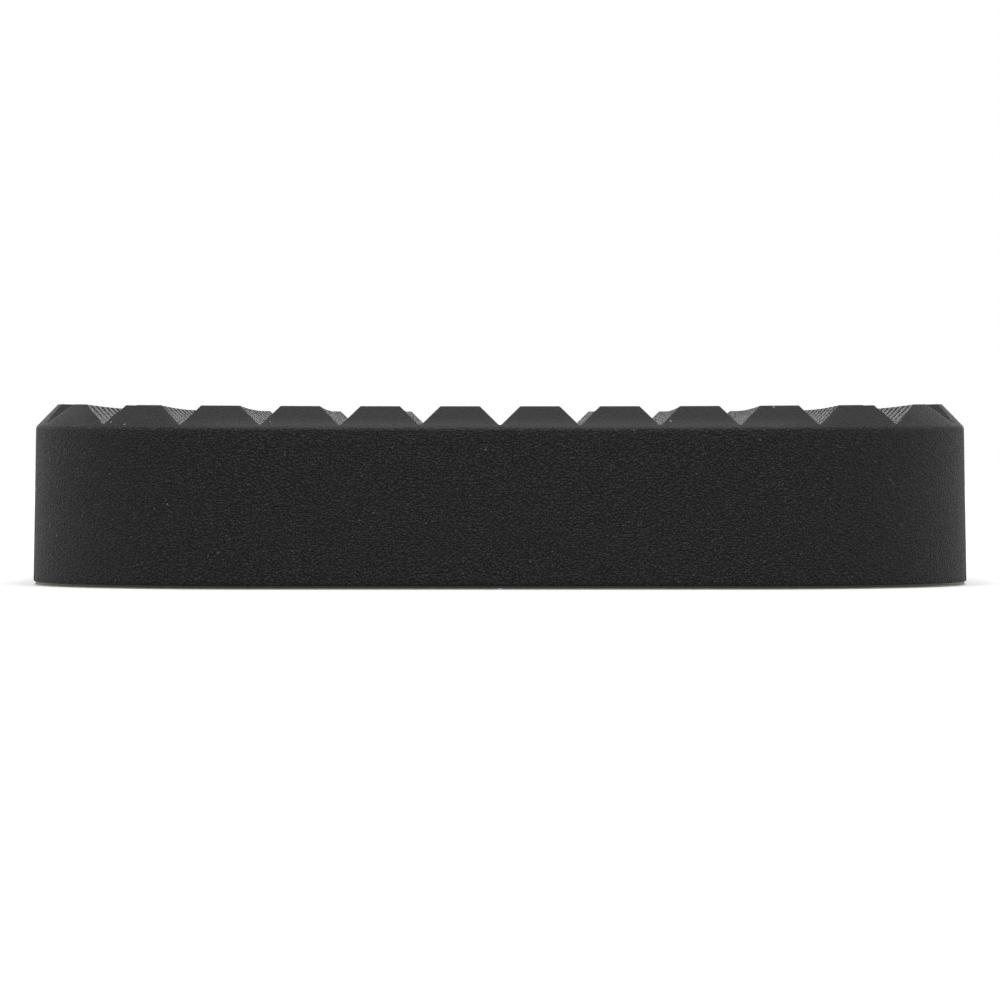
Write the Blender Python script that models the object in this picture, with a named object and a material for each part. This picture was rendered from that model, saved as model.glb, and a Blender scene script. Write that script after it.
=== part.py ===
"""Snowboard stomp pad: a moulded foam block with a field of flat-topped studs, its bonding tape and a split liner.

The pad lies on the XY plane with its studs up. X runs along its long side, Y along its short side, and the
underside of the liner is at Z = 0. All lengths are in metres.
"""

import math

import bmesh
import bpy
from mathutils import Vector

MM = 0.001

# Foam block
PAD_WIDTH = 72.6 * MM
PAD_DEPTH = 60.6 * MM
PAD_HEIGHT = 13.5 * MM
CORNER_RADIUS = 18.0 * MM
WALL_DRAFT = math.radians(1.0)
RIM_CHAMFER = 1.72 * MM
RIM_ROUND = 0.4 * MM

# Stud field: straight V grooves at one pitch in both directions
STUD_PITCH = 6.0 * MM
GROOVE_DEPTH = 1.44 * MM
GROOVE_ANGLE = math.radians(90.0)
GROOVE_ROUND = 0.2 * MM
SMALLEST_LAND = 1.0 * MM

# Bonding tape and liner, from the pad downwards
TAPE_INSET = 0.15 * MM
ADHESIVE_THICKNESS = 0.06 * MM
CARRIER_THICKNESS = 0.03 * MM
LINER_THICKNESS = 0.08 * MM
LINER_SLIT = 0.3 * MM
BOND_GAP = 0.01 * MM

# Facets of the rounded shapes
CORNER_STEPS = 18
RIM_STEPS = 3
GROOVE_STEPS = 4


def clear_scene():
    """Remove every object that the scene starts with."""
    for old in list(bpy.data.objects):
        bpy.data.objects.remove(old)


def material(name, colour, roughness, metallic=0.0):
    """A plain Principled material."""
    made = bpy.data.materials.new(name)
    made.use_nodes = True
    shader = made.node_tree.nodes["Principled BSDF"]
    shader.inputs["Base Color"].default_value = (*colour, 1.0)
    shader.inputs["Roughness"].default_value = roughness
    shader.inputs["Metallic"].default_value = metallic
    return made


def add_object(name, shape, surface=None):
    """Turn a bmesh into a named object in the scene."""
    bmesh.ops.recalc_face_normals(shape, faces=shape.faces)
    mesh = bpy.data.meshes.new(name)
    shape.to_mesh(mesh)
    shape.free()
    made = bpy.data.objects.new(name, mesh)
    if surface:
        mesh.materials.append(surface)
    bpy.context.scene.collection.objects.link(made)
    return made


def rounded_outline(inset):
    """Plan points of the pad's rounded rectangle, moved inwards by inset, anticlockwise."""
    radius = CORNER_RADIUS - inset
    centre_x = PAD_WIDTH / 2 - CORNER_RADIUS
    centre_y = PAD_DEPTH / 2 - CORNER_RADIUS
    points = []
    for quarter, (side_x, side_y) in enumerate([(1, 1), (-1, 1), (-1, -1), (1, -1)]):
        for step in range(CORNER_STEPS + 1):
            angle = math.pi / 2 * (quarter + step / CORNER_STEPS)
            x = side_x * centre_x + radius * math.cos(angle)
            y = side_y * centre_y + radius * math.sin(angle)
            points.append(Vector((x, y)))
    return points


def rounded_corner(before, corner, after, radius, steps):
    """Points of the arc that rounds the corner of a three-point profile."""
    first = (before - corner).normalized()
    second = (after - corner).normalized()
    half_angle = first.angle(second) / 2
    centre = corner + (first + second).normalized() * (radius / math.sin(half_angle))
    start = corner + first * (radius / math.tan(half_angle)) - centre
    end = corner + second * (radius / math.tan(half_angle)) - centre
    turn = start.angle_signed(end)
    points = []
    for step in range(steps + 1):
        angle = -turn * step / steps
        x = start.x * math.cos(angle) - start.y * math.sin(angle)
        z = start.x * math.sin(angle) + start.y * math.cos(angle)
        points.append(centre + Vector((x, z)))
    return points


def stacked_rings(profile):
    """A closed solid from outline rings: profile gives each ring's inset and height, from the foot up."""
    shape = bmesh.new()
    rings = []
    for inset, height in profile:
        rings.append([shape.verts.new((p.x, p.y, height)) for p in rounded_outline(inset)])
    count = len(rings[0])
    for lower, upper in zip(rings, rings[1:]):
        for i in range(count):
            j = (i + 1) % count
            shape.faces.new((lower[i], lower[j], upper[j], upper[i]))
    shape.faces.new(list(reversed(rings[0])))
    shape.faces.new(rings[-1])
    return shape


def foam_block(base):
    """The block before its grooves: drafted wall, rounded edge and 45 degree rim chamfer."""
    wall_height = PAD_HEIGHT - RIM_CHAMFER
    lean = wall_height * math.tan(WALL_DRAFT)
    foot = Vector((0.0, base))
    edge = Vector((lean, base + wall_height))
    top = Vector((lean + RIM_CHAMFER, base + PAD_HEIGHT))
    profile = [foot]
    profile += rounded_corner(foot, edge, top, RIM_ROUND, RIM_STEPS)
    profile.append(top)
    return stacked_rings([(p.x, p.y) for p in profile])


def groove_section(top):
    """Section of one V groove as (offset, height) points, open above the pad's top."""
    half_angle = GROOVE_ANGLE / 2
    centre_height = top - GROOVE_DEPTH + GROOVE_ROUND
    reach = math.pi / 2 - half_angle
    points = []
    for step in range(GROOVE_STEPS + 1):
        angle = -math.pi / 2 + reach * (2 * step / GROOVE_STEPS - 1)
        points.append((GROOVE_ROUND * math.cos(angle), centre_height + GROOVE_ROUND * math.sin(angle)))
    rise = top + GROOVE_DEPTH - points[0][1]
    spread = points[-1][0] + rise * math.tan(half_angle)
    points.append((spread, top + GROOVE_DEPTH))
    points.append((-spread, top + GROOVE_DEPTH))
    return points


def groove_offsets(size):
    """Groove centre lines at the stud pitch, kept clear of the rim so that the outer studs have a land."""
    half_width = GROOVE_DEPTH * math.tan(GROOVE_ANGLE / 2)
    reach = size / 2 - RIM_CHAMFER - SMALLEST_LAND - half_width
    count = max(0, math.floor(reach / STUD_PITCH))
    return [STUD_PITCH * k for k in range(-count, count + 1)]


def groove_cutter(name, offsets, length, top, across):
    """One wire cutter with a prism for each groove. across is True for grooves that run along X."""
    shape = bmesh.new()
    for offset in offsets:
        ends = []
        for end in (-length, length):
            ring = []
            for side, height in groove_section(top):
                place = (end, offset + side, height) if across else (offset + side, end, height)
                ring.append(shape.verts.new(place))
            ends.append(ring)
        count = len(ends[0])
        for i in range(count):
            j = (i + 1) % count
            shape.faces.new((ends[0][i], ends[0][j], ends[1][j], ends[1][i]))
        shape.faces.new(list(reversed(ends[0])))
        shape.faces.new(ends[1])
    cutter = add_object(name, shape)
    cutter.hide_render = True
    cutter.display_type = "WIRE"
    return cutter


def cut(target, cutter):
    """Subtract a cutter from an object."""
    modifier = target.modifiers.new(cutter.name, "BOOLEAN")
    modifier.operation = "DIFFERENCE"
    modifier.solver = "EXACT"
    modifier.object = cutter


def build_foam_pad(base, surface):
    """The moulded block with both sets of grooves cut into its top."""
    pad = add_object("foam_pad", foam_block(base), surface)
    top = base + PAD_HEIGHT
    long_cutter = groove_cutter("long_grooves", groove_offsets(PAD_WIDTH), PAD_DEPTH, top, False)
    cross_cutter = groove_cutter("cross_grooves", groove_offsets(PAD_DEPTH), PAD_WIDTH, top, True)
    cut(pad, long_cutter)
    cut(pad, cross_cutter)
    return pad


def build_layer(name, base, thickness, surface):
    """One sheet of the bonding tape."""
    shape = stacked_rings([(TAPE_INSET, base), (TAPE_INSET, base + thickness)])
    return add_object(name, shape, surface)


def build_liner_half(name, side, surface):
    """One half of the release liner, cut back from the slit on the centre line."""
    shape = stacked_rings([(TAPE_INSET, 0.0), (TAPE_INSET, LINER_THICKNESS)])
    everything = shape.verts[:] + shape.edges[:] + shape.faces[:]
    found = bmesh.ops.bisect_plane(
        shape,
        geom=everything,
        plane_co=(side * LINER_SLIT / 2, 0.0, 0.0),
        plane_no=(-side, 0.0, 0.0),
        clear_outer=True,
    )
    rim = [item for item in found["geom_cut"] if isinstance(item, bmesh.types.BMEdge)]
    bmesh.ops.contextual_create(shape, geom=rim)
    return add_object(name, shape, surface)


def build():
    """Stack the liner, the tape and the pad from the floor up."""
    clear_scene()
    foam = material("moulded_foam", (0.020, 0.020, 0.021), 0.62)
    glue = material("acrylic_adhesive", (0.035, 0.034, 0.033), 0.35)
    film = material("carrier_film", (0.060, 0.060, 0.062), 0.30)
    paper = material("liner_paper", (0.78, 0.74, 0.62), 0.45)

    build_liner_half("liner_left", -1, paper)
    build_liner_half("liner_right", 1, paper)
    height = LINER_THICKNESS + BOND_GAP
    build_layer("board_adhesive", height, ADHESIVE_THICKNESS, glue)
    height += ADHESIVE_THICKNESS + BOND_GAP
    build_layer("carrier_film", height, CARRIER_THICKNESS, film)
    height += CARRIER_THICKNESS + BOND_GAP
    build_layer("pad_adhesive", height, ADHESIVE_THICKNESS, glue)
    height += ADHESIVE_THICKNESS + BOND_GAP
    build_foam_pad(height, foam)


build()
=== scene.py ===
# %% [markdown]
# # Snowboard stomp pad
# This lesson dresses the CAD model of a stomp pad: a block of moulded black foam that fits in a hand, with
# a field of flat-topped studs that a boot grips. The CAD frame fixes every size, so it is loaded first and
# nothing is moved afterwards.

# %% Load the frame
import math

import bmesh
import bpy
import numpy as np
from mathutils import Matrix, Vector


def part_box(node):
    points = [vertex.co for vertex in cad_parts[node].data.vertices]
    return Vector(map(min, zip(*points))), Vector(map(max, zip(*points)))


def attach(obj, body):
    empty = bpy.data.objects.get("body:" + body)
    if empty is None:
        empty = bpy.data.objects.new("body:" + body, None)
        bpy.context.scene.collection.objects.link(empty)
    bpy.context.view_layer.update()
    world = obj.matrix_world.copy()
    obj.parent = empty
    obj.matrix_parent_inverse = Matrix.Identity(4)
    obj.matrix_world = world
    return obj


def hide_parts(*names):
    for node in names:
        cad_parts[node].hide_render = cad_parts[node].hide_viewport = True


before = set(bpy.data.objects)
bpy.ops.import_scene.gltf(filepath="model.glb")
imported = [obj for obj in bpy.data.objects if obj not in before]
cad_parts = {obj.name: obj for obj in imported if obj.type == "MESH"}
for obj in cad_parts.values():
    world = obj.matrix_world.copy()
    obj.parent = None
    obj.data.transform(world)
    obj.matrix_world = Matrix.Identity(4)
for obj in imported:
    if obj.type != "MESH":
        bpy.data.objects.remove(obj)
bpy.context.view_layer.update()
print("CAD nodes:", sorted(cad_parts))

# %% [markdown]
# ## The pad's sizes
# The foam block's width, depth and height are read from its CAD node, so the dressed pad can't drift away
# from it. The smaller sizes repeat the design: V grooves with 45 degree sides at one pitch both ways, a
# 45 degree chamfer round the rim, and a wall that leans in by one degree so that the moulding leaves its
# mould.

# %% Sizes of the foam block
MM = 0.001
foam_low, foam_high = (np.array(corner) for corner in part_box("foam_pad"))
HALF_X, HALF_Y, BLOCK_HEIGHT = (foam_high - foam_low) * (0.5, 0.5, 1.0)
TOP = foam_high[2]
CORNER = 18.0 * MM
PITCH = 6.0 * MM
GROOVE_DEPTH = 1.44 * MM
GROOVE_ROUND = 0.2 * MM
CHAMFER = 1.72 * MM
WALL_DRAFT = math.radians(1.0)
LEAN = (BLOCK_HEIGHT - CHAMFER) * math.tan(WALL_DRAFT)
print(f"block {2 * HALF_X / MM:.1f} x {2 * HALF_Y / MM:.1f} x {BLOCK_HEIGHT / MM:.1f} mm")
print(f"the wall leans in by {LEAN / MM:.2f} mm")

# %% [markdown]
# ## The plan outline
# Seen from above the pad is a rounded rectangle. All its rings, from the foot to the stud tops, are the same
# outline moved inwards, so one function gives every one of them. The pad is the same in all four quarters,
# and we only work out the quarter where x and y are positive: up its straight right side, round the corner,
# and along its back.

# %% Outline of one quarter
CENTRE_X = HALF_X - CORNER
CENTRE_Y = HALF_Y - CORNER
ARC = CORNER * math.pi / 2
SMALLEST = 1e-12


def outline_place(way, inset):
    """Plan point at a distance along the quarter's outline, moved inwards: up the side, then on an arc about
    the corner's centre with radius (corner - inset), then along the back edge."""
    turn = np.clip((way - CENTRE_Y) / CORNER, 0.0, math.pi / 2)
    past_arc = np.maximum(way - CENTRE_Y - ARC, 0.0)
    x = CENTRE_X + (CORNER - inset) * np.cos(turn) - past_arc
    y = np.minimum(way, CENTRE_Y) + (CORNER - inset) * np.sin(turn)
    return x, y


def outline_way(x, y):
    """Distance along the outline of a plan point: on the arc, the angle about the corner's centre times the
    corner radius."""
    turn = np.arctan2(np.maximum(y - CENTRE_Y, 0.0), np.maximum(x - CENTRE_X, SMALLEST))
    return np.minimum(y, CENTRE_Y) + CORNER * turn + np.maximum(CENTRE_X - x, 0.0)


def outline_reach(along, inset, centre, half):
    """How far the inset outline reaches from one axis at a place along the other: half less inset on the
    straight part, and the circle's root past the corner's start."""
    centre_across = half - CORNER
    past = np.maximum(along - centre, 0.0)
    return centre_across + np.sqrt(np.maximum((CORNER - inset) ** 2 - past ** 2, 0.0))


QUARTER = CENTRE_Y + ARC + CENTRE_X
print(f"a quarter of the outline is {QUARTER / MM:.1f} mm long")

# %% [markdown]
# ## The section of a stud
# Each stud is a frustum: sides at 45 degrees, a flat land on top, a small round at the groove's bottom and
# another at the land's edge. Foam never has a knife edge, and the rounds are what catch the light. A Bevel
# modifier could round the CAD block, but its mesh is loose triangles, so the section is worked out afresh as
# a list of levels. A level says how far a groove side stands from its groove's centre line, how far the rim
# side stands in from the block's outline, and how high both are.

# %% Levels of a stud side
EDGE_ROUND = 0.14 * MM
EDGE_STEPS = 4
TIP_TURNS = np.radians([0.0, 22.5, 45.0])
SLOPE_HEIGHTS = np.array([-0.9, -0.62, -0.33, -0.11]) * GROOVE_DEPTH
GROOVE_REACH = GROOVE_DEPTH + GROOVE_ROUND * (math.sqrt(2.0) - 1.0)
RIM_INSET = LEAN + CHAMFER


def rounded_turn(before, corner, after, radius, steps):
    """Arc between two straight lines: it starts a tangent's length before the corner, turns about the point
    that is one radius from both lines, and ends a tangent's length after it."""
    back = (before - corner) / np.linalg.norm(before - corner)
    onward = (after - corner) / np.linalg.norm(after - corner)
    half_angle = math.acos(np.clip(back @ onward, -1.0, 1.0)) / 2
    middle = (back + onward) / np.linalg.norm(back + onward)
    centre = corner + middle * radius / math.sin(half_angle)
    start = corner + back * radius / math.tan(half_angle) - centre
    end = corner + onward * radius / math.tan(half_angle) - centre
    share = np.linspace(0.0, 1.0, steps + 1)[:, None]
    sweep = math.pi - 2 * half_angle
    return centre + (np.sin((1 - share) * sweep) * start + np.sin(share * sweep) * end) / math.sin(sweep)


tip_out = GROOVE_ROUND * np.sin(TIP_TURNS)
tip_height = -GROOVE_DEPTH + GROOVE_ROUND * (1 - np.cos(TIP_TURNS))
tip = np.stack([tip_out, tip_height], axis=1)
slope = np.stack([GROOVE_REACH + SLOPE_HEIGHTS, SLOPE_HEIGHTS], axis=1)
land_edge = np.array([GROOVE_REACH, 0.0])
edge_turn = rounded_turn(tip[-1], land_edge, land_edge + (MM, 0.0), EDGE_ROUND, EDGE_STEPS)
level_out, level_height = np.concatenate([tip, slope, edge_turn]).T
level_rim = RIM_INSET + np.concatenate([tip_height, level_out[len(tip):] - GROOVE_REACH])
print(f"{len(level_out)} levels; a groove is {2 * GROOVE_REACH / MM:.2f} mm wide at the top")

# %% [markdown]
# ## Cells, and studs that the rim cuts short
# The groove lines divide the quarter into cells, one for each stud, and the outermost cells end at the rim.
# In the pad's corners a cell is too small for a land, and its stud ends in a low peak where the groove sides
# and the rim meet. We find that height by trying many and keeping the highest that still leaves some room,
# and squeeze the stud's levels under it.

# %% Groove lines and levels of one stud
GROOVE_MARGIN = 4.1 * MM
LEAST_LAND = 0.1 * MM
LEAST_PEAK = 0.08 * MM
PEAK_TRIES = 4000
SLOPE_START = len(tip) - 1

x_lines = [*np.arange(0.0, HALF_X - GROOVE_MARGIN, PITCH), np.inf]
y_lines = [*np.arange(0.0, HALF_Y - GROOVE_MARGIN, PITCH), np.inf]


def stud_levels(x0, y0):
    """Levels of the stud in the cell that starts at x0 and y0: the common ones, or with every height above
    the groove's round scaled to end at the peak, and both insets following the 45 degree sides."""
    out, height, rim = level_out.copy(), level_height.copy(), level_rim.copy()
    room = outline_reach(y0 + out, rim, CENTRE_Y, HALF_X) - (x0 + out)
    if room[-1] >= LEAST_LAND:
        return out, height, rim
    rise = np.linspace(-GROOVE_DEPTH, 0.0, PEAK_TRIES)
    reach = outline_reach(y0 + GROOVE_REACH + rise, RIM_INSET + rise, CENTRE_Y, HALF_X)
    spare = reach - x0 - GROOVE_REACH - rise
    peak = rise[spare > LEAST_PEAK].max()
    share = np.linspace(0.0, 1.0, len(height) - SLOPE_START)
    height[SLOPE_START:] = height[SLOPE_START] + (peak - height[SLOPE_START]) * share
    out[SLOPE_START:] = GROOVE_REACH + height[SLOPE_START:]
    rim[SLOPE_START:] = RIM_INSET + height[SLOPE_START:]
    return out, height, rim


corner_heights = stud_levels(x_lines[-2], y_lines[-2])[1]
print(f"the corner's stud ends {-corner_heights[-1] / MM:.2f} mm below the lands")

# %% [markdown]
# ## One stud
# At each level the plan of a stud is a polygon with up to five sides: two or more groove sides and, at the
# rim, a stretch of the inset outline. Where the outline cuts a cell the sides change length from level to
# level, and one may shrink to a point. So the corners are worked out for all levels at once, and the sides
# are filled in between them.

# %% Corners and sides of one stud
HIP_ROUND = 0.045 * MM
MOST_PULL = 0.2
SHORTEST = 1e-9
TOUCHING = 1e-7
RIM_STEPS = 8


def stud_corners(x0, x1, y0, y1, out, rim):
    """Corners of a stud's plan at every level, anticlockwise from the one by the cell's start: each lies
    where two groove sides meet, or where a groove side meets the inset outline if that comes first."""
    xa, ya, xb, yb = x0 + out, y0 + out, x1 - out, y1 - out
    reach_a = outline_reach(ya, rim, CENTRE_Y, HALF_X)
    reach_b = outline_reach(np.minimum(yb, HALF_Y), rim, CENTRE_Y, HALF_X)
    rise_a = outline_reach(xa, rim, CENTRE_X, HALF_Y)
    rise_b = outline_reach(np.minimum(xb, HALF_X), rim, CENTRE_X, HALF_Y)
    start = np.stack([xa, ya], axis=1)
    bottom_end = np.stack([np.minimum(xb, reach_a), ya], axis=1)
    left_start = np.stack([xa, np.minimum(yb, rise_a)], axis=1)
    full_right = np.stack([np.minimum(xb, HALF_X), np.minimum(yb, rise_b)], axis=1)
    full_back = np.stack([np.minimum(xb, reach_b), np.minimum(yb, HALF_Y)], axis=1)
    right_end = np.where((xb <= reach_a)[:, None], full_right, bottom_end)
    back_start = np.where((yb <= rise_a)[:, None], full_back, left_start)
    return start, bottom_end, right_end, back_start, left_start


def straight_side(a, b, steps):
    """Points from a to b at every level, at even shares of the way, and those shares. Both ends stop short
    by the hip's round, apart from the lowest level, where neighbouring studs meet."""
    length = np.linalg.norm(b - a, axis=1)[:, None]
    pull = np.minimum(HIP_ROUND / np.maximum(length, SHORTEST), MOST_PULL)
    pull[0] = 0.0
    share = pull + np.linspace(0.0, 1.0, steps + 1) * (1 - 2 * pull)
    return a[:, None] + share[:, :, None] * (b - a)[:, None], share


def rim_side(a, b, rim):
    """Points from a to b along the inset outline at every level, at even distances along it, and the lowest
    level's distances. A side that has shrunk to a point stays there."""
    chord, share = straight_side(a, b, RIM_STEPS)
    way_a = outline_way(*a.T)[:, None]
    way_b = outline_way(*b.T)[:, None]
    way = way_a + share * (way_b - way_a)
    curve = np.stack(outline_place(way, rim[:, None]), axis=2)
    gone = np.linalg.norm(b - a, axis=1) < TOUCHING
    return np.where(gone[:, None, None], chord, curve), way[0]


inner_corners = stud_corners(0.0, PITCH, 0.0, PITCH, level_out, level_rim)
inner_land = inner_corners[1][-1] - inner_corners[0][-1]
print(f"an inner stud's land is {inner_land[0] / MM:.2f} mm wide between its rounds")

# %% [markdown]
# ## Rings of a stud
# The filled sides of one level make a closed ring, and the rings of all levels stack into the frustum. Three
# more rings that shrink to the middle close the land.

# %% Rings of one stud
SIDE_STEPS = 4
LAND_SHARES = np.array([0.95, 0.5, 0.0])


def stud_rings(x0, x1, y0, y1):
    """Rings of a stud in the cell from x0 to x1 and y0 to y1, where x1 or y1 is infinite at the rim, and the
    distances along the outline at which its lowest ring meets the wall, or None for an inner stud."""
    out, height, rim = stud_levels(x0, y0)
    start, bottom_end, right_end, back_start, left_start = stud_corners(x0, x1, y0, y1, out, rim)
    sides = [straight_side(start, bottom_end, SIDE_STEPS)[0]]
    if np.isfinite(x1):
        sides.append(straight_side(bottom_end, right_end, SIDE_STEPS)[0])
    ways = None
    if np.linalg.norm(back_start[0] - right_end[0]) > TOUCHING:
        curve, ways = rim_side(right_end, back_start, rim)
        sides.append(curve)
    if np.isfinite(y1):
        sides.append(straight_side(back_start, left_start, SIDE_STEPS)[0])
    sides.append(straight_side(left_start, start, SIDE_STEPS)[0])
    plan = np.concatenate(sides, axis=1)
    rings = np.dstack([plan, np.repeat(height[:, None], plan.shape[1], axis=1)])
    middle = rings[-1].mean(axis=0)
    land = middle + LAND_SHARES[:, None, None] * (rings[-1] - middle)
    return np.concatenate([rings, land]), ways


sample, _ = stud_rings(0.0, PITCH, 0.0, PITCH)
print("an inner stud has", sample.shape[0], "rings of", sample.shape[1], "points")

# %% [markdown]
# ## The studs of a quarter
# Now the studs of one quarter are made cell by cell. Every point also gets two marks for the finish: how
# much of the wall's grain it has, and how much wear and painted highlight it has. A stud has none of the
# grain, and so far only the rounds of its land are paler with wear and a painted highlight.

# %% Studs of one quarter
# The second mark is wear together with a painted highlight on the edges.
MARKS = ("grain", "wear_and_highlight")
GRAIN, WEAR_AND_HIGHLIGHT = range(len(MARKS))
# Wear and painted highlight on the rounds of a stud's land, row by row.
STUD_WEAR_AND_HIGHLIGHT = (0.1, 0.3, 0.4, 0.3, 0.1)

points, faces, masks, rim_ways = [], [], [], []


def grid_faces(rows, columns, closed):
    """Quads of a grid of points: each joins a point, the next in its row, and the two above them."""
    across = columns if closed else columns - 1
    row, column = np.meshgrid(np.arange(rows - 1), np.arange(across), indexing="ij")
    here = row * columns + column
    beside = row * columns + (column + 1) % columns
    return np.stack([here, beside, beside + columns, here + columns], axis=2).reshape(-1, 4)


def add_grid(rings, closed, mask):
    """Add a grid of points to the quarter, with the grain and the wear of each row."""
    offset = sum(len(grid) for grid in points)
    rows, columns = rings.shape[:2]
    points.append(rings.reshape(-1, 3))
    faces.append(grid_faces(rows, columns, closed) + offset)
    masks.append(np.repeat(mask, columns, axis=0))


levels = len(level_out)
stud_mask = np.zeros((levels + len(LAND_SHARES), len(MARKS)))
stud_mask[levels - len(STUD_WEAR_AND_HIGHLIGHT):levels, WEAR_AND_HIGHLIGHT] = STUD_WEAR_AND_HIGHLIGHT
for x0, x1 in zip(x_lines, x_lines[1:]):
    for y0, y1 in zip(y_lines, y_lines[1:]):
        rings, ways = stud_rings(x0, x1, y0, y1)
        add_grid(rings, True, stud_mask)
        if ways is not None:
            rim_ways.append(ways)
print(len(points), "studs in a quarter, of which", len(rim_ways), "stand on the rim")

# %% [markdown]
# ## The wall of a quarter
# The wall is one more surface: a section carried along the outline, from the chamfer's foot round the rim's
# edge, down the leaning wall, round the foot and in under the block. It uses the very points at which the
# studs end, so that the seam closes. The grain starts softly on the rim's round and fades again under the
# block.

# %% Wall and underside of one quarter
RIM_ROUND = 0.5 * MM
RIM_EDGE_STEPS = 6
FOOT_ROUND = 0.12 * MM
FOOT_STEPS = 4
WALL_SHARES = np.array([0.03, 0.08, 0.2, 0.35, 0.5, 0.65, 0.8, 0.92, 0.97])
UNDER_SHARES = (0.97, 0.0)
GRAIN_ON_ROUND = 0.5
GRAIN_BELOW_ROUND = 0.8
GRAIN_UNDER = 0.2
WAY_DIGITS = 10

wall_foot = np.array([0.0, -BLOCK_HEIGHT])
wall_edge = np.array([LEAN, -CHAMFER])
rim_top = np.array([RIM_INSET, 0.0])
rim_turn = rounded_turn(rim_top, wall_edge, wall_foot, RIM_ROUND, RIM_EDGE_STEPS)
foot_turn = rounded_turn(wall_edge, wall_foot, wall_foot + (MM, 0.0), FOOT_ROUND, FOOT_STEPS)
wall_rows = rim_turn[-1] + WALL_SHARES[:, None] * (foot_turn[0] - rim_turn[-1])
stud_end = np.array([[level_rim[0], level_height[0]]])
section = np.concatenate([stud_end, rim_turn, wall_rows, foot_turn])

ring_ways = np.unique(np.round(np.concatenate(rim_ways), WAY_DIGITS))
wall_x, wall_y = outline_place(ring_ways, section[:, :1])
wall_z = np.repeat(section[:, 1:], len(ring_ways), axis=1)
wall = np.stack([wall_x, wall_y, wall_z], axis=2)
under = np.stack([wall[-1] * (share, share, 1.0) for share in UNDER_SHARES])

wall_mask = np.zeros((len(section) + len(under), len(MARKS)))
wall_mask[:, GRAIN] = 1.0
soft_start = [0.0, *np.linspace(0.0, GRAIN_ON_ROUND, len(rim_turn)), GRAIN_BELOW_ROUND]
wall_mask[:len(soft_start), GRAIN] = soft_start
wall_mask[-len(under):, GRAIN] = GRAIN_UNDER
add_grid(np.concatenate([wall, under])[:, ::-1], False, wall_mask)
print(f"the wall has {wall.shape[0]} rows of {wall.shape[1]} points")

# %% [markdown]
# ## The whole pad
# Three mirrored copies complete the pad. A Mirror modifier could do it too, but the next steps change the
# whole pad's points, so the copies are made as arrays. A copy that is mirrored once has its faces turned
# round, so that they still point outwards.

# %% Mirror the quarter
SIDES = np.array([(1, 1, 1), (-1, 1, 1), (-1, -1, 1), (1, -1, 1)])
quarter_points = np.concatenate(points)
quarter_faces = np.concatenate(faces)
pad_points = np.concatenate([quarter_points * side for side in SIDES])
pad_faces = np.concatenate([
    (quarter_faces if side[0] * side[1] > 0 else quarter_faces[:, ::-1]) + i * len(quarter_points)
    for i, side in enumerate(SIDES)
])
pad_masks = np.tile(np.concatenate(masks), (len(SIDES), 1))
print(len(quarter_points), "points in a quarter and", len(pad_faces), "faces in the pad")

# %% [markdown]
# ## Wear and painted highlight on the rim
# Handling rubs the foam where it stands out most: just above the foot of the chamfer, along the straight
# sides. The mark is a paler band there, partly wear and partly a painted highlight, that fades away round
# the corners.

# %% Band of wear and painted highlight on the rim
BAND_HEIGHT = 0.28 * MM
BAND_SPREAD = 0.27 * MM
BAND_REACH = 0.12 * MM
CORNER_FADE = 0.22


def rim_wear_and_highlight(places):
    """Wear and painted highlight of points on the chamfer: a bell curve of the height about the band's
    middle, times a ramp that falls to nothing towards the middle of each corner's arc."""
    height = places[:, 2]
    x, y = np.abs(places[:, :2]).T
    way = outline_way(x, y)
    rim_x, rim_y = outline_place(way, RIM_INSET + np.minimum(height, 0.0))
    on_chamfer = np.hypot(x - rim_x, y - rim_y) < BAND_REACH
    from_diagonal = np.abs(np.clip((way - CENTRE_Y) / ARC, 0.0, 1.0) - 0.5)
    off_corner = np.clip((from_diagonal - CORNER_FADE) / CORNER_FADE, 0.0, 1.0)
    band = np.exp(-((height + CHAMFER - BAND_HEIGHT) / BAND_SPREAD) ** 2)
    return band * off_corner * on_chamfer


# The rim's band of wear and painted highlight joins the studs' marks.
pad_masks[:, WEAR_AND_HIGHLIGHT] = np.maximum(pad_masks[:, WEAR_AND_HIGHLIGHT], rim_wear_and_highlight(pad_points))
print(f"the points' wear is {pad_masks[:, WEAR_AND_HIGHLIGHT].mean():.2f} on average")

# %% [markdown]
# ## Sag and lift
# Cooling foam shrinks most where it is thickest, so the top of a real pad is very slightly hollow, and its
# two ends stand up a little. Both are added here, a few tenths of a millimetre at most, and fade out towards
# the foot, which stays flat on its tape.

# %% Sag of the middle and lift of the ends
SAG = 0.22 * MM
END_LIFT = 0.32 * MM
LIFT_POWER = 3.5
FADE_POWER = 3


def settled_height(places):
    """Change of height of the pad's points: the ends rise with a power of the distance along the pad, the
    middle sinks by a parabola each way, and both are multiplied by a power of the height above the foot."""
    along, across = places[:, 0] / HALF_X, places[:, 1] / HALF_Y
    sunk = SAG * np.clip(1 - along ** 2, 0, 1) * np.clip(1 - across ** 2, 0, 1)
    lift = END_LIFT * np.abs(along) ** LIFT_POWER - sunk
    share_up = np.clip(places[:, 2] / BLOCK_HEIGHT + 1.0, 0.0, 1.0)
    return lift * share_up ** FADE_POWER


change = settled_height(pad_points)
pad_points[:, 2] += TOP + change
print(f"heights change by {change.min() / MM:.2f} to {change.max() / MM:.2f} mm")

# %% [markdown]
# ## The foam mesh
# The quarters share their edge points, and so do a stud and its neighbours. Merging those doubles closes the
# shell, after which the normals can be turned outwards. The mesh replaces the plain CAD block.

# %% Mesh of the foam pad
MERGE_WITHIN = 0.0005 * MM
CUBIC_CM = (10 * MM) ** 3


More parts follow.
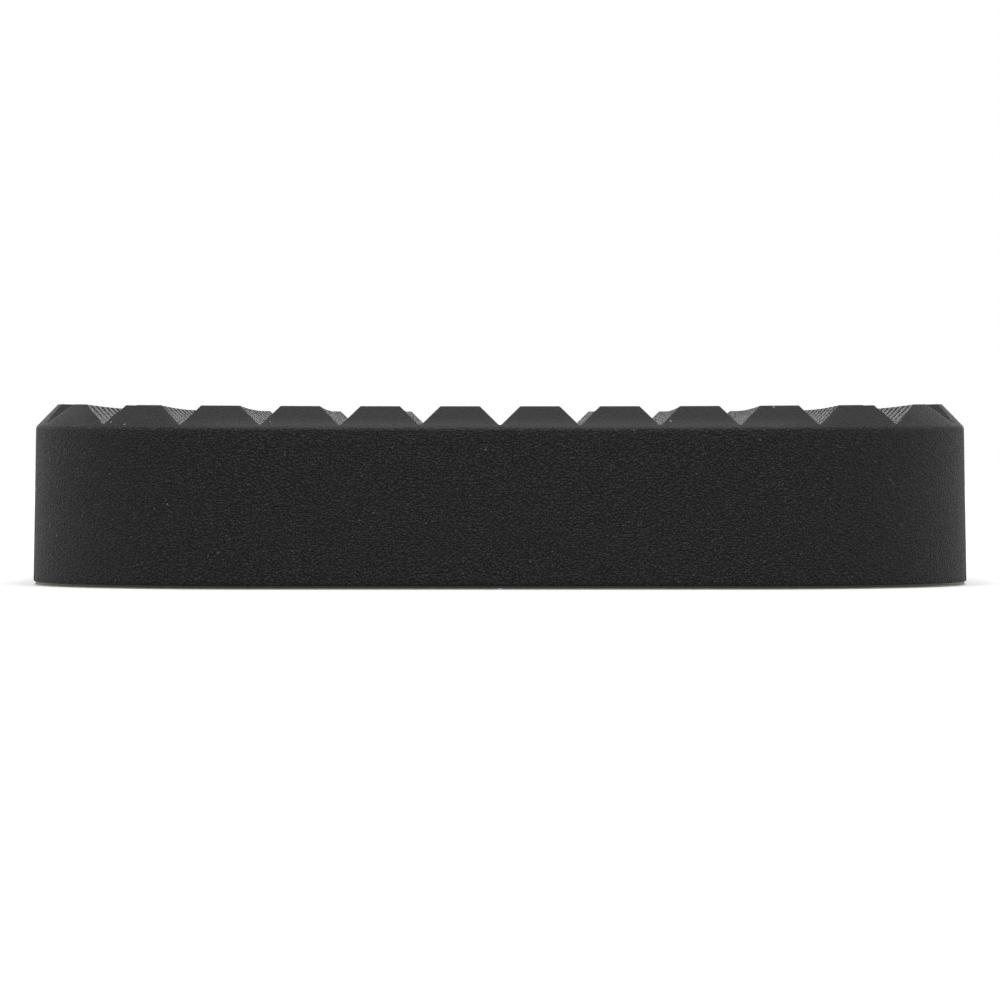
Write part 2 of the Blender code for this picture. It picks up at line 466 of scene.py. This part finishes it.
def merged_mesh(name, places, quads, marks):
    """Mesh of quads with its marks as point attributes, its doubled points merged and its normals pointing
    outwards."""
    mesh = bpy.data.meshes.new(name)
    mesh.from_pydata(places.tolist(), [], quads.tolist())
    for column, title in enumerate(MARKS):
        layer = mesh.attributes.new(title, "FLOAT", "POINT")
        layer.data.foreach_set("value", marks[:, column].astype(np.float32))
    shape = bmesh.new()
    shape.from_mesh(mesh)
    bmesh.ops.remove_doubles(shape, verts=shape.verts, dist=MERGE_WITHIN)
    bmesh.ops.recalc_face_normals(shape, faces=shape.faces)
    open_edges = sum(not edge.is_manifold for edge in shape.edges)
    print(f"{name}: {len(shape.faces)} faces, {open_edges} open edges")
    print(f"{name}: volume {shape.calc_volume() / CUBIC_CM:.2f} cm3")
    shape.to_mesh(mesh)
    shape.free()
    mesh.shade_smooth()
    return mesh


foam_mesh = merged_mesh("moulded_foam_pad", pad_points, pad_faces, pad_masks)
foam = bpy.data.objects.new("moulded_foam_pad", foam_mesh)
bpy.context.scene.collection.objects.link(foam)
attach(foam, "root")
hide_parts("foam_pad")

# %% [markdown]
# ## Node helpers
# The finishes are node trees. A few small helpers keep the cells that build them short: they add a node, do
# one step of arithmetic, spread a value over a range or mix two colours.

# %% Helpers for node trees
def feed(tree, socket, value):
    """Link another socket to this one, or set a constant."""
    if isinstance(value, bpy.types.NodeSocket):
        tree.links.new(value, socket)
    else:
        socket.default_value = value


def add_node(tree, kind, settings=None, **inputs):
    """Add a node, set its properties and feed its inputs. An underscore in an input's name is a space."""
    node = tree.nodes.new(kind)
    for key, value in (settings or {}).items():
        setattr(node, key, value)
    for key, value in inputs.items():
        feed(tree, node.inputs[key.replace("_", " ")], value)
    return node


def in_order(tree, node, values):
    """Feed a node's sockets in their order, and give its first output."""
    for socket, value in zip(node.inputs, values):
        feed(tree, socket, value)
    return node.outputs[0]


def maths(tree, operation, *values):
    """Result of one operation on numbers."""
    return in_order(tree, add_node(tree, "ShaderNodeMath", {"operation": operation}), values)


def vectors(tree, operation, *values):
    """Result of one operation on vectors."""
    return in_order(tree, add_node(tree, "ShaderNodeVectorMath", {"operation": operation}), values)


def scale_vector(tree, vector, factor):
    """A vector times a number."""
    settings = {"operation": "SCALE"}
    return add_node(tree, "ShaderNodeVectorMath", settings, Vector=vector, Scale=factor).outputs[0]


def spread(tree, value, low, high, start=0.0, end=1.0, easing="LINEAR"):
    """Spread a value over a range: start becomes low, end becomes high, and nothing goes past them."""
    node = add_node(tree, "ShaderNodeMapRange", {"interpolation_type": easing})
    return in_order(tree, node, (value, start, end, low, high))


def mix_colours(tree, share, first, second):
    """The first colour where share is 0, the second where it is 1, and a blend between."""
    node = add_node(tree, "ShaderNodeMix", {"data_type": "RGBA"}, Factor=share)
    sockets = {socket.identifier: socket for socket in [*node.inputs, *node.outputs]}
    feed(tree, sockets["A_Color"], first)
    feed(tree, sockets["B_Color"], second)
    return sockets["Result_Color"]


helpers = (feed, add_node, maths, vectors, scale_vector, spread, mix_colours)
print("node helpers:", [helper.__name__ for helper in helpers])

# %% [markdown]
# ## Pebble grain
# The mould for the wall is etched with a fine leather grain: rounded pebbles with narrow valleys between
# them. Smooth Voronoi cells give the pebbles, and a little noise on their coordinates keeps them from
# looking like tiles. It is a node group, so that it is built once and each material sets its own size. The
# group puts out the pebbles' height, a finer noise, and a mask of the few pebbles that get a painted glint.

# %% Group: pebble grain
WANDER = 1.1
PEBBLE_TOP, PEBBLE_FOOT = 0.1, 0.75
# Pebbles whose random draw is above this get a painted glint: a pale top that stands for caught light.
PAINTED_GLINT_ABOVE = 0.95


def start_group(name, inputs, outputs):
    """A shader node group with the kinds of its named inputs and the names of its float outputs."""
    tree = bpy.data.node_groups.new(name, "ShaderNodeTree")
    for title, kind in inputs.items():
        tree.interface.new_socket(title, in_out="INPUT", socket_type=kind)
    for title in outputs:
        tree.interface.new_socket(title, in_out="OUTPUT", socket_type="NodeSocketFloat")
    print("group:", tree.name, "with outputs", outputs)
    return tree, tree.nodes.new("NodeGroupInput").outputs, tree.nodes.new("NodeGroupOutput").inputs


grain_sockets = {"Vector": "NodeSocketVector", "Size": "NodeSocketFloat"}
grain_group, grain_in, grain_out = start_group("pebble_grain", grain_sockets, ["Height", "Fine", "Painted_glint"])
per_size = maths(grain_group, "DIVIDE", 1.0, grain_in["Size"])
scaled = scale_vector(grain_group, grain_in["Vector"], per_size)
wobble = add_node(grain_group, "ShaderNodeTexNoise", Vector=scaled, Scale=0.7, Detail=2.0)
centred = vectors(grain_group, "SUBTRACT", wobble.outputs["Color"], (0.5, 0.5, 0.5))
bent = vectors(grain_group, "MULTIPLY_ADD", centred, (WANDER, WANDER, WANDER), scaled)
pebbles = add_node(
    grain_group, "ShaderNodeTexVoronoi", {"feature": "SMOOTH_F1"}, Vector=bent, Scale=1.0, Smoothness=0.35)
rounded = spread(grain_group, pebbles.outputs["Distance"], 1.0, 0.0, PEBBLE_TOP, PEBBLE_FOOT, "SMOOTHSTEP")
# The pebbles picked here get a painted glint on their tops.
pebble_draw = add_node(grain_group, "ShaderNodeSeparateColor", Color=pebbles.outputs["Color"])
picked = maths(grain_group, "GREATER_THAN", pebble_draw.outputs["Red"], PAINTED_GLINT_ABOVE)
fine = add_node(grain_group, "ShaderNodeTexNoise", Vector=scaled, Scale=1.4, Detail=2.0, Roughness=0.6)
feed(grain_group, grain_out["Height"], rounded)
feed(grain_group, grain_out["Fine"], fine.outputs["Fac"])
feed(grain_group, grain_out["Painted_glint"], maths(grain_group, "MULTIPLY", picked, rounded))

# %% [markdown]
# ## Dust
# Black foam shows every speck. A few pale points of dust are scattered by giving each cell of a Voronoi
# pattern two random numbers: one decides whether the cell has a speck at all, and the other how large it is.

# %% Group: dust specks
SPECK_LEAST, SPECK_SPREAD = 0.05, 0.1

dust_sockets = {"Vector": "NodeSocketVector", "Scale": "NodeSocketFloat", "Share": "NodeSocketFloat"}
dust_group, dust_in, dust_out = start_group("dust_specks", dust_sockets, ["Mask"])
cells = add_node(dust_group, "ShaderNodeTexVoronoi", Vector=dust_in["Vector"], Scale=dust_in["Scale"])
cell_draw = add_node(dust_group, "ShaderNodeSeparateColor", Color=cells.outputs["Color"])
chosen = maths(dust_group, "LESS_THAN", cell_draw.outputs["Red"], dust_in["Share"])
speck_size = maths(dust_group, "MULTIPLY_ADD", cell_draw.outputs["Green"], SPECK_SPREAD, SPECK_LEAST)
speck = maths(dust_group, "LESS_THAN", cells.outputs["Distance"], speck_size)
feed(dust_group, dust_out["Mask"], maths(dust_group, "MULTIPLY", chosen, speck))

# %% [markdown]
# ## Moulded foam: colour
# The foam is a matt black that never reads as a flat colour. On the wall the grain's colour carries painted
# shade in the valleys between the pebbles, a painted highlight on their tops and a brighter painted glint on
# a few of them, and the studs have only a fine sand. The tone drifts a little from place to place, the edges
# are paler with wear and a painted highlight, and there is some dust. The two point attributes made with
# the mesh tell the material where it is. Patterns read the object coordinates, which are real metres, so a
# pebble is about a quarter of a millimetre wide. It is less than that tall, because the coordinates are
# stretched upwards first. Most of a noise lies between 0.3 and 0.7, so that part is what is spread over a
# range.

# %% Material: colour of the moulded foam
FOAM_BLACK = (0.018, 0.018, 0.0183)
DUST_GREY = (0.24, 0.24, 0.235, 1.0)
PEBBLE_WIDTH = 0.23 * MM
UPWARD_STRETCH = 1.6
MOST_NOISE = (0.3, 0.7)
TONE_RANGE = (0.95, 1.05)
SAND_RANGE = (-0.45, 0.45)
PEBBLE_SHADE_AND_HIGHLIGHT_RANGE = (-0.55, 1.48)
WEAR_AND_HIGHLIGHT_GAIN = 1.15
# How much brighter the painted glints on the picked pebbles are.
PAINTED_GLINT_GAIN = 3.5


def start_material(name, **constants):
    """A Principled material with its constant inputs set, and with it its tree, its shader's inputs and the
    object coordinates."""
    made = bpy.data.materials.new(name)
    made.use_nodes = True
    tree = made.node_tree
    inputs = tree.nodes["Principled BSDF"].inputs
    for key, value in constants.items():
        inputs[key.replace("_", " ")].default_value = value
    print("material:", made.name)
    return made, tree, inputs, tree.nodes.new("ShaderNodeTexCoord").outputs["Object"]


def use_group(tree, group, **inputs):
    """Outputs of a node group placed in a tree."""
    return add_node(tree, "ShaderNodeGroup", {"node_tree": group}, **inputs).outputs


def point_mark(tree, name):
    """Value of one of the mesh's point attributes."""
    return add_node(tree, "ShaderNodeAttribute", {"attribute_name": name}).outputs["Fac"]


foam_finish, foam_tree, foam_inputs, foam_place = start_material(
    "moulded_foam_finish", IOR=1.45, Specular_IOR_Level=0.21)
grain_mask, wear_and_highlight_mask = (point_mark(foam_tree, name) for name in MARKS)
stretched = vectors(foam_tree, "MULTIPLY", foam_place, (1.0, 1.0, UPWARD_STRETCH))
grain = use_group(foam_tree, grain_group, Vector=stretched, Size=PEBBLE_WIDTH)
dust = use_group(foam_tree, dust_group, Vector=foam_place, Scale=1800.0, Share=0.05)
drift = add_node(foam_tree, "ShaderNodeTexNoise", Vector=foam_place, Scale=90.0, Detail=4.0, Roughness=0.6)
tone = spread(foam_tree, drift.outputs["Fac"], *TONE_RANGE, *MOST_NOISE)
sand = spread(foam_tree, grain["Fine"], *SAND_RANGE, *MOST_NOISE)
# Wear on the edges, together with a painted highlight, pales them on top of the tone and the sand.
worn_and_highlit = maths(foam_tree, "MULTIPLY_ADD", wear_and_highlight_mask, WEAR_AND_HIGHLIGHT_GAIN, maths(foam_tree, "ADD", tone, sand))
# Painted shade and highlight: the valleys between the pebbles are darkened and the pebbles' tops paled, as
# light falling on the grain would do. The picked pebbles then add their painted glint.
painted_pebble_shading = spread(foam_tree, grain["Height"], *PEBBLE_SHADE_AND_HIGHLIGHT_RANGE)
pebble_shade_and_glints = maths(foam_tree, "MULTIPLY_ADD", grain["Painted_glint"], PAINTED_GLINT_GAIN, painted_pebble_shading)
shaded = maths(foam_tree, "MULTIPLY_ADD", pebble_shade_and_glints, grain_mask, worn_and_highlit)
black = scale_vector(foam_tree, FOAM_BLACK, shaded)
feed(foam_tree, foam_inputs["Base Color"], mix_colours(foam_tree, dust["Mask"], black, DUST_GREY))
foam.data.materials.append(foam_finish)

# %% [markdown]
# ## Moulded foam: gloss and relief
# The gloss follows the fine noise, and the wall is a touch shinier than the studs. The relief is the full
# pebbles on the wall plus a share of the fine noise everywhere, which keeps the studs from looking polished.
# Displaced pebbles of this size would need millions of faces, so the relief is only a bump.

# %% Material: gloss and relief of the moulded foam
ROUGH_RANGE = (0.56, 0.66)
WALL_SHINE = -0.04
FINE_RANGE = (0.3, 0.4)
GRAIN_RELIEF = 0.35 * MM

rough = spread(foam_tree, grain["Fine"], *ROUGH_RANGE, *MOST_NOISE)
feed(foam_tree, foam_inputs["Roughness"], maths(foam_tree, "MULTIPLY_ADD", grain_mask, WALL_SHINE, rough))
full_pebbles = maths(foam_tree, "MULTIPLY", grain["Height"], grain_mask)
fine_share = spread(foam_tree, grain_mask, *FINE_RANGE)
relief = maths(foam_tree, "MULTIPLY_ADD", grain["Fine"], fine_share, full_pebbles)
foam_bump = add_node(foam_tree, "ShaderNodeBump", Strength=1.0, Distance=GRAIN_RELIEF, Height=relief)
feed(foam_tree, foam_inputs["Normal"], foam_bump.outputs[0])
print("the foam's tree has", len(foam_tree.nodes), "nodes")

# %% [markdown]
# ## Tape and liner
# Under the foam lie the tape's two coats of adhesive, its carrier film, and the release liner in two halves.
# Their CAD sheets already have the right shape, so they only get finishes: a dark adhesive with a soft
# mottle, a smooth dark film, and a pale coated paper with a faint fibre and a few darker specks.

# %% Materials: adhesive, film and liner
GLUE_COLOURS = (0.012, 0.012, 0.012, 1.0), (0.03, 0.03, 0.029, 1.0)
FILM_COLOURS = (0.03, 0.03, 0.032, 1.0), (0.05, 0.05, 0.052, 1.0)
PAPER_COLOURS = (0.66, 0.60, 0.47, 1.0), (0.80, 0.75, 0.62, 1.0)
SPECK_BROWN = (0.5, 0.43, 0.32, 1.0)
PAPER_ROUGH = (0.35, 0.5)
FIBRE_SIZE = 0.5 * MM
FIBRE_RELIEF = 0.01 * MM


def mottled_finish(name, ior, scale, detail, colours, rough_range):
    """A smooth material whose colour and roughness drift together with one noise."""
    made, tree, inputs, place = start_material(name, IOR=ior)
    mottle = add_node(tree, "ShaderNodeTexNoise", Vector=place, Scale=scale, Detail=detail).outputs["Fac"]
    feed(tree, inputs["Base Color"], mix_colours(tree, mottle, *colours))
    feed(tree, inputs["Roughness"], spread(tree, mottle, *rough_range))
    return made


def paper_finish(name):
    """A pale coated paper: fibres in its colour, gloss and relief, and a few darker specks."""
    made, tree, inputs, place = start_material(name, IOR=1.5)
    fibre = use_group(tree, grain_group, Vector=place, Size=FIBRE_SIZE)["Fine"]
    specks = use_group(tree, dust_group, Vector=place, Scale=500.0, Share=0.08)["Mask"]
    clean = mix_colours(tree, fibre, *PAPER_COLOURS)
    feed(tree, inputs["Base Color"], mix_colours(tree, specks, clean, SPECK_BROWN))
    feed(tree, inputs["Roughness"], spread(tree, fibre, *PAPER_ROUGH))
    bump = add_node(tree, "ShaderNodeBump", Strength=0.3, Distance=FIBRE_RELIEF, Height=fibre)
    feed(tree, inputs["Normal"], bump.outputs[0])
    return made


glue = mottled_finish(
    "adhesive_finish", ior=1.48, scale=700.0, detail=4.0, colours=GLUE_COLOURS, rough_range=(0.3, 0.5))
film = mottled_finish(
    "film_finish", ior=1.6, scale=300.0, detail=2.0, colours=FILM_COLOURS, rough_range=(0.2, 0.34))
paper = paper_finish("liner_finish")
finishes = {
    "pad_adhesive": glue,
    "board_adhesive": glue,
    "carrier_film": film,
    "liner_left": paper,
    "liner_right": paper,
}
for name, finish in finishes.items():
    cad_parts[name].material_slots[0].material = finish
print("CAD nodes with new finishes:", sorted(finishes))

# %% [markdown]
# ## Floor
# The pad lies on a plain pale sheet. A studio sweep looks evenly white because many lamps light it. Here the
# sheet itself is lifted towards white where it is seen directly, more so the further it lies from the pad,
# and close to the pad it still takes the shadow.

# %% Floor
FLOOR_HALF = 4.0
FLOOR_GREY = (0.62, 0.62, 0.62, 1.0)
WHITE = (1.0, 1.0, 1.0, 1.0)
LIFT_RANGE = (0.3, 0.9)
LIFT_DISTANCES = (0.0, 2.0)


def seen_directly(tree):
    """1 for a ray from the camera, off a glossy surface or through glass, and 0 for the soft light that is
    spread around."""
    ray = tree.nodes.new("ShaderNodeLightPath").outputs
    shown = maths(tree, "MAXIMUM", ray["Is Camera Ray"], ray["Is Glossy Ray"])
    return maths(tree, "MAXIMUM", shown, ray["Is Transmission Ray"])


floor_mesh = bpy.data.meshes.new("floor")
floor_corners = [(x * FLOOR_HALF, y * FLOOR_HALF, 0) for x, y in ((-1, -1), (1, -1), (1, 1), (-1, 1))]
floor_mesh.from_pydata(floor_corners, [], [(0, 1, 2, 3)])
floor = bpy.data.objects.new("floor", floor_mesh)
bpy.context.scene.collection.objects.link(floor)
floor_finish, floor_tree, floor_inputs, floor_place = start_material(
    "floor_finish", Roughness=0.9, Base_Color=FLOOR_GREY, Specular_IOR_Level=0.1, Emission_Color=WHITE)
measure = add_node(floor_tree, "ShaderNodeVectorMath", {"operation": "LENGTH"}, Vector=floor_place)
floor_lift = spread(floor_tree, measure.outputs["Value"], *LIFT_RANGE, *LIFT_DISTANCES)
shown_lift = maths(floor_tree, "MULTIPLY", seen_directly(floor_tree), floor_lift)
feed(floor_tree, floor_inputs["Emission Strength"], shown_lift)
floor_mesh.materials.append(floor_finish)
print("floor", 2 * FLOOR_HALF, "m wide")

# %% [markdown]
# ## Light
# The photograph was lit from above, with little from the camera's side: the front wall is almost black, the
# chamfers that face up are clearly paler, and the groove sides that catch the backdrop are paler still. A
# broad soft lamp overhead does most of this, and a weak one low behind the pad stands for the bright
# backdrop. The world is white where it is seen or reflected, and gives only a little light of its own, so
# that the lamps decide the shading.

# %% World and lamps
WORLD_RANGE = (0.18, 1.0)

world = bpy.data.worlds.new("studio")
bpy.context.scene.world = world
world.use_nodes = True
world_tree = world.node_tree
backdrop = world_tree.nodes["Background"].inputs
backdrop["Color"].default_value = WHITE
feed(world_tree, backdrop["Strength"], spread(world_tree, seen_directly(world_tree), *WORLD_RANGE))


def soft_lamp(name, place, aim, size, power):
    """A square area lamp that points from its place to an aim point."""
    lamp = bpy.data.lights.new(name, "AREA")
    lamp.size = size
    lamp.energy = power
    holder = bpy.data.objects.new(name, lamp)
    holder.visible_camera = False
    holder.location = place
    x, y, z = np.array(aim) - np.array(place)
    holder.rotation_euler = (math.atan2(math.hypot(x, y), -z), 0.0, math.atan2(-x, y))
    bpy.context.scene.collection.objects.link(holder)
    print(f"lamp: {name}, {size} m wide, {power} W")


soft_lamp("overhead_softbox", place=(0.0, -0.20, 1.50), aim=(0.0, 0.0, 0.0), size=0.9, power=24.0)
soft_lamp("backdrop_softbox", place=(0.0, 1.20, 0.37), aim=(0.0, 0.0, 0.01), size=0.7, power=4.0)

# %% [markdown]
# ## Camera
# The picture is an almost level side view from about 43 cm with a long lens. The camera stands a little
# below the stud tops and looks down by half a degree, which puts the horizon just above the middle of the
# frame.

# %% Camera
IMAGE_SIZE = 1000
PIXELS_PER_MM = 13.37
HORIZON_ROW = 452
DISTANCE = 430.0 * MM
EYE_HEIGHT = 10.3 * MM
SENSOR_WIDTH = 36.0

focal_pixels = PIXELS_PER_MM * DISTANCE / MM
look_down = math.atan((IMAGE_SIZE / 2 - HORIZON_ROW) / focal_pixels)
eye = bpy.data.cameras.new("photo_camera")
eye.sensor_width = SENSOR_WIDTH
eye.lens = SENSOR_WIDTH * focal_pixels / IMAGE_SIZE
eye.clip_start = 0.01
camera = bpy.data.objects.new("photo_camera", eye)
camera.location = (0.0, -HALF_Y - DISTANCE, EYE_HEIGHT)
camera.rotation_euler = (math.pi / 2 - look_down, 0.0, 0.0)
bpy.context.scene.collection.objects.link(camera)
bpy.context.scene.camera = camera
bpy.context.scene.view_settings.view_transform = "Standard"
print(f"lens {eye.lens:.0f} mm at {DISTANCE:.2f} m, looking down by {math.degrees(look_down):.1f} degrees")
